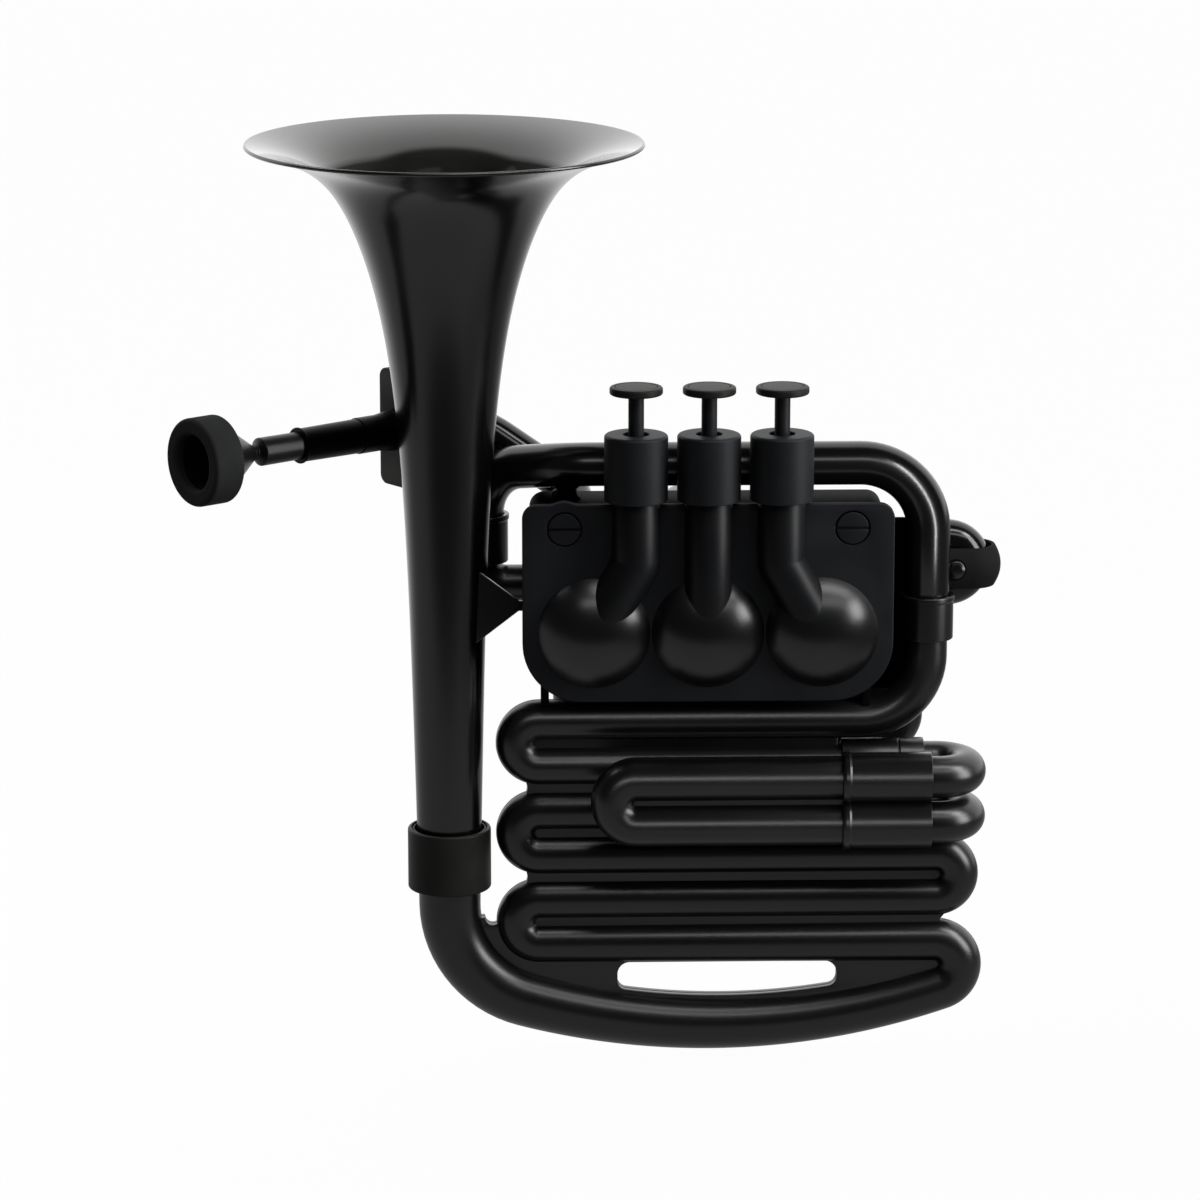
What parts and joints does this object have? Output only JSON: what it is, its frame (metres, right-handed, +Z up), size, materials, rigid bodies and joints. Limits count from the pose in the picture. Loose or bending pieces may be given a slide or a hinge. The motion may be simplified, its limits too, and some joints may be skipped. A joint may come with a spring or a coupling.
{
  "type": "plastic horn",
  "caption": "Black plastic horn with an upright bell over folded tubing with a hand slot, push valves on a domed plate, a tuning slide and a soft-rimmed mouthpiece.",
  "frame": {"origin": "the middle of the hand slot, in the mid-plane of the folded tube", "axes": "+Z up along the bell and the buttons' stroke, +X along the rows of tube away from the bell, +Y from the valve plate to the back"},
  "size_m": [0.331, 0.157, 0.3729],
  "materials": {
    "satin_black": "satin black moulded plastic",
    "slate_black": "matte slate black moulded plastic",
    "gloss_black": "polished black plastic",
    "sheen_black": "semi-gloss black plastic",
    "soft_black": "soft matte black rubber",
    "spring_steel": "drawn spring steel"
  },
  "bodies": {
    "horn_body": {"bell": "sheen_black", "bell_collar": "soft_black", "stack_front_shell": "satin_black", "stack_rear_shell": "satin_black", "right_ferrule": "satin_black", "left_ferrule": "satin_black", "top_tube": "satin_black", "tube_saddle": "slate_black", "elbow": "satin_black", "valve_plate": "slate_black", "valve_block": "satin_black", "block_foot_left": "satin_black", "block_foot_right": "satin_black", "front_double_ferrule": "satin_black", "rear_double_ferrule": "satin_black", "upper_crook": "satin_black", "lower_crook": "satin_black", "lead_pipe": "gloss_black", "receiver": "gloss_black", "lead_pipe_flange": "slate_black", "bell_brace": "satin_black", "valve_loop_1": "satin_black", "valve_loop_2": "satin_black", "valve_loop_3": "gloss_black", "loop_strap": "soft_black", "strap_stud": "sheen_black", "casing_cap_1": "slate_black", "return_spring_1": "spring_steel", "casing_cap_2": "slate_black", "return_spring_2": "spring_steel", "casing_cap_3": "slate_black", "return_spring_3": "spring_steel"},
    "tuning_slide": {"front_hairpin": "satin_black"},
    "mouthpiece": {"mouthpiece_rim": "soft_black", "mouthpiece_cup": "sheen_black"},
    "screw_left": {"plate_screw_left": "slate_black"},
    "screw_right": {"plate_screw_right": "slate_black"},
    "button_1_body": {"valve_stem_1": "slate_black", "button_1": "slate_black", "button_inlay_1": "sheen_black"},
    "rotor_1_body": {"valve_rotor_1": "satin_black"},
    "button_2_body": {"valve_stem_2": "slate_black", "button_2": "slate_black", "button_inlay_2": "sheen_black"},
    "rotor_2_body": {"valve_rotor_2": "satin_black"},
    "button_3_body": {"valve_stem_3": "slate_black", "button_3": "slate_black", "button_inlay_3": "sheen_black"},
    "rotor_3_body": {"valve_rotor_3": "satin_black"}
  },
  "joints": [
    {"name": "button_1_press", "type": "slide", "parent": "horn_body", "child": "button_1_body", "axis": [0, 0, -1], "range_m": [0, 0.013], "stiffness_N_per_m": 120, "springref_m": -0.012, "deforming": ["return_spring_1"]},
    {"name": "button_2_press", "type": "slide", "parent": "horn_body", "child": "button_2_body", "axis": [0, 0, -1], "range_m": [0, 0.013], "stiffness_N_per_m": 120, "springref_m": -0.012, "deforming": ["return_spring_2"]},
    {"name": "button_3_press", "type": "slide", "parent": "horn_body", "child": "button_3_body", "axis": [0, 0, -1], "range_m": [0, 0.013], "stiffness_N_per_m": 120, "springref_m": -0.012, "deforming": ["return_spring_3"]},
    {"name": "rotor_1_turn", "type": "hinge", "parent": "horn_body", "child": "rotor_1_body", "pos_m": [-0.0546, 0, 0.1498], "axis": [0, 1, 0], "range_deg": [0, 90.5]},
    {"name": "rotor_2_turn", "type": "hinge", "parent": "horn_body", "child": "rotor_2_body", "pos_m": [-0.0094, 0, 0.1498], "axis": [0, 1, 0], "range_deg": [0, 90.5]},
    {"name": "rotor_3_turn", "type": "hinge", "parent": "horn_body", "child": "rotor_3_body", "pos_m": [0.0358, 0, 0.1498], "axis": [0, 1, 0], "range_deg": [-90.5, 0]},
    {"name": "tuning_slide_pull", "type": "slide", "parent": "horn_body", "child": "tuning_slide", "axis": [-1, 0, 0], "range_m": [0, 0.02]},
    {"name": "mouthpiece_pull", "type": "slide", "parent": "horn_body", "child": "mouthpiece", "axis": [-0.788, -0.6157, 0], "range_m": [0, 0.012]},
    {"name": "screw_left_turn", "type": "hinge", "parent": "horn_body", "child": "screw_left", "pos_m": [-0.0663, -0.0216, 0.192], "axis": [0, -1, 0], "range_deg": [0, 90]},
    {"name": "screw_right_turn", "type": "hinge", "parent": "horn_body", "child": "screw_right", "pos_m": [0.0475, -0.0216, 0.192], "axis": [0, -1, 0], "range_deg": [0, 90]}
  ],
  "couplings": [
    {"joint": "rotor_1_turn", "follows": "button_1_press", "rad_per_m": 120.83},
    {"joint": "rotor_2_turn", "follows": "button_2_press", "rad_per_m": 120.83},
    {"joint": "rotor_3_turn", "follows": "button_3_press", "rad_per_m": -120.83}
  ]
}
